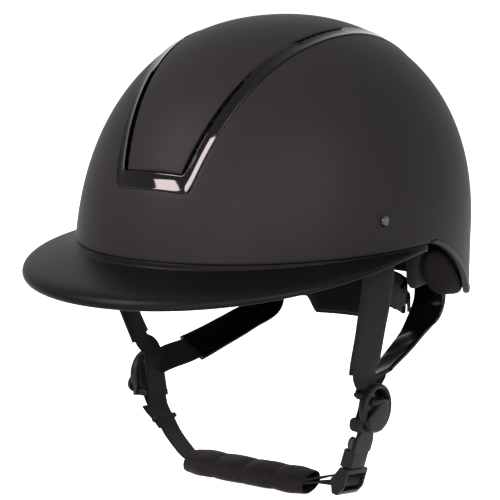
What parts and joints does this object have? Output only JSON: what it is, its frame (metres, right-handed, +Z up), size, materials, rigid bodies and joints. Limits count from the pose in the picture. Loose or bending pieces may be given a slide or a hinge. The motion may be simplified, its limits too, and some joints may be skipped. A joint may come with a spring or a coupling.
{
  "type": "riding helmet",
  "caption": "Riding helmet with a matte shell, wide brim, gloss trim frame over the crown, leather neck pad, dial-fit nape cradle and a strap harness with a side buckle and chin pad.",
  "frame": {"origin": "centre of the head opening on the shell's widest plane, half way between its sides", "axes": "+Z up towards the crown, front faces -Y, the wearer's left is +X (the buckle side)"},
  "size_m": [0.2312, 0.3167, 0.2833],
  "materials": {
    "shell": "matte black",
    "panel": "matte black",
    "trim": "gloss black chrome",
    "grille": "satin",
    "brim": "matte black",
    "bead": "satin",
    "foam": "fine bead foam",
    "padding": "knitted mesh",
    "neck_leather": "soft grain",
    "rivet": "gloss",
    "webbing": "ribbed weave",
    "matte_sleeve": "matte grain",
    "gloss_sleeve": "patent gloss",
    "divider": "satin",
    "lever": "satin",
    "pin": "satin",
    "buckle": "satin",
    "prong": "satin",
    "keeper": "woven elastic",
    "chin_leather": "soft sewn",
    "cradle": "satin",
    "dial": "satin",
    "pinion": "satin",
    "belt": "satin"
  },
  "bodies": {
    "helmet": {"outer_shell": "shell", "centre_panel": "panel", "trim_frame": "trim", "vent_grilles": "grille", "brim": "brim", "edge_bead": "bead", "shock_liner": "foam", "comfort_liner": "padding", "crown_pad": "padding", "neck_pad": "neck_leather", "anchor_rivets": "rivet", "front_strap_left": "webbing", "front_strap_right": "webbing", "rear_strap_left": "webbing", "rear_strap_right": "webbing", "front_sleeve_left": "matte_sleeve", "front_sleeve_right": "matte_sleeve", "rear_sleeve_left": "gloss_sleeve", "rear_sleeve_right": "gloss_sleeve", "divider_left": "divider", "divider_right": "divider", "lever_pin_left": "pin", "lever_pin_right": "pin", "buckle_socket": "buckle", "temple_pins": "pin"},
    "cradle": {"nape_cradle": "cradle", "nape_pad": "padding", "dial_housing": "dial", "cradle_arm_left": "cradle", "cradle_arm_right": "cradle"},
    "dial": {"dial_knob": "dial", "dial_pinion": "pinion"},
    "belt_left": {"belt_left": "belt"},
    "belt_right": {"belt_right": "belt"},
    "cam_lever_left": {"cam_lever_left": "lever"},
    "cam_lever_right": {"cam_lever_right": "lever"},
    "chin_strap": {"chin_webbing": "webbing", "webbing_tail": "webbing", "webbing_keeper": "keeper", "chin_pad": "chin_leather", "buckle_insert": "buckle", "adjuster_bar": "pin"},
    "prong_front": {"prong_front": "prong"},
    "prong_rear": {"prong_rear": "prong"}
  },
  "joints": [
    {"name": "cradle_tilt", "type": "hinge", "parent": "helmet", "child": "cradle", "pos_m": [0, -0.018, 0.02], "axis": [1, 0, 0], "range_deg": [-6, 6]},
    {"name": "dial_turn", "type": "hinge", "parent": "cradle", "child": "dial", "pos_m": [0, 0.098, -0.042], "axis": [0, 1, 0], "range_deg": [-90, 90]},
    {"name": "belt_left_draw", "type": "hinge", "parent": "cradle", "child": "belt_left", "pos_m": [0, 0.015, -0.042], "axis": [0, 0, 1], "range_deg": [-5.2, 5.2]},
    {"name": "belt_right_draw", "type": "hinge", "parent": "cradle", "child": "belt_right", "pos_m": [0, 0.015, -0.042], "axis": [0, 0, 1], "range_deg": [-5.2, 5.2]},
    {"name": "cam_lever_left_open", "type": "hinge", "parent": "helmet", "child": "cam_lever_left", "pos_m": [0.0889, -0.01562, -0.08408], "axis": [0, -0.9886, 0.1504], "range_deg": [0, 75]},
    {"name": "cam_lever_right_open", "type": "hinge", "parent": "helmet", "child": "cam_lever_right", "pos_m": [-0.0889, -0.01562, -0.08408], "axis": [0, 0.9886, -0.1504], "range_deg": [0, 75]},
    {"name": "chin_strap_open", "type": "hinge", "parent": "helmet", "child": "chin_strap", "pos_m": [-0.0789, -0.01799, -0.0996], "axis": [0, 0.9886, -0.1504], "range_deg": [0, 60], "deforming": ["prong_front", "prong_rear"]},
    {"name": "prong_front_squeeze", "type": "hinge", "parent": "chin_strap", "child": "prong_front", "pos_m": [0.07386, -0.02879, -0.12273], "axis": [-0.9744, 0.0338, 0.2224], "range_deg": [0, 6], "stiffness_Nm_per_rad": 0.4},
    {"name": "prong_rear_squeeze", "type": "hinge", "parent": "chin_strap", "child": "prong_rear", "pos_m": [0.07386, -0.01455, -0.1249], "axis": [0.9744, -0.0338, -0.2224], "range_deg": [0, 6], "stiffness_Nm_per_rad": 0.4}
  ],
  "couplings": [
    {"joint": "belt_left_draw", "follows": "dial_turn", "ratio": -0.054866},
    {"joint": "belt_right_draw", "follows": "dial_turn", "ratio": 0.054866}
  ]
}
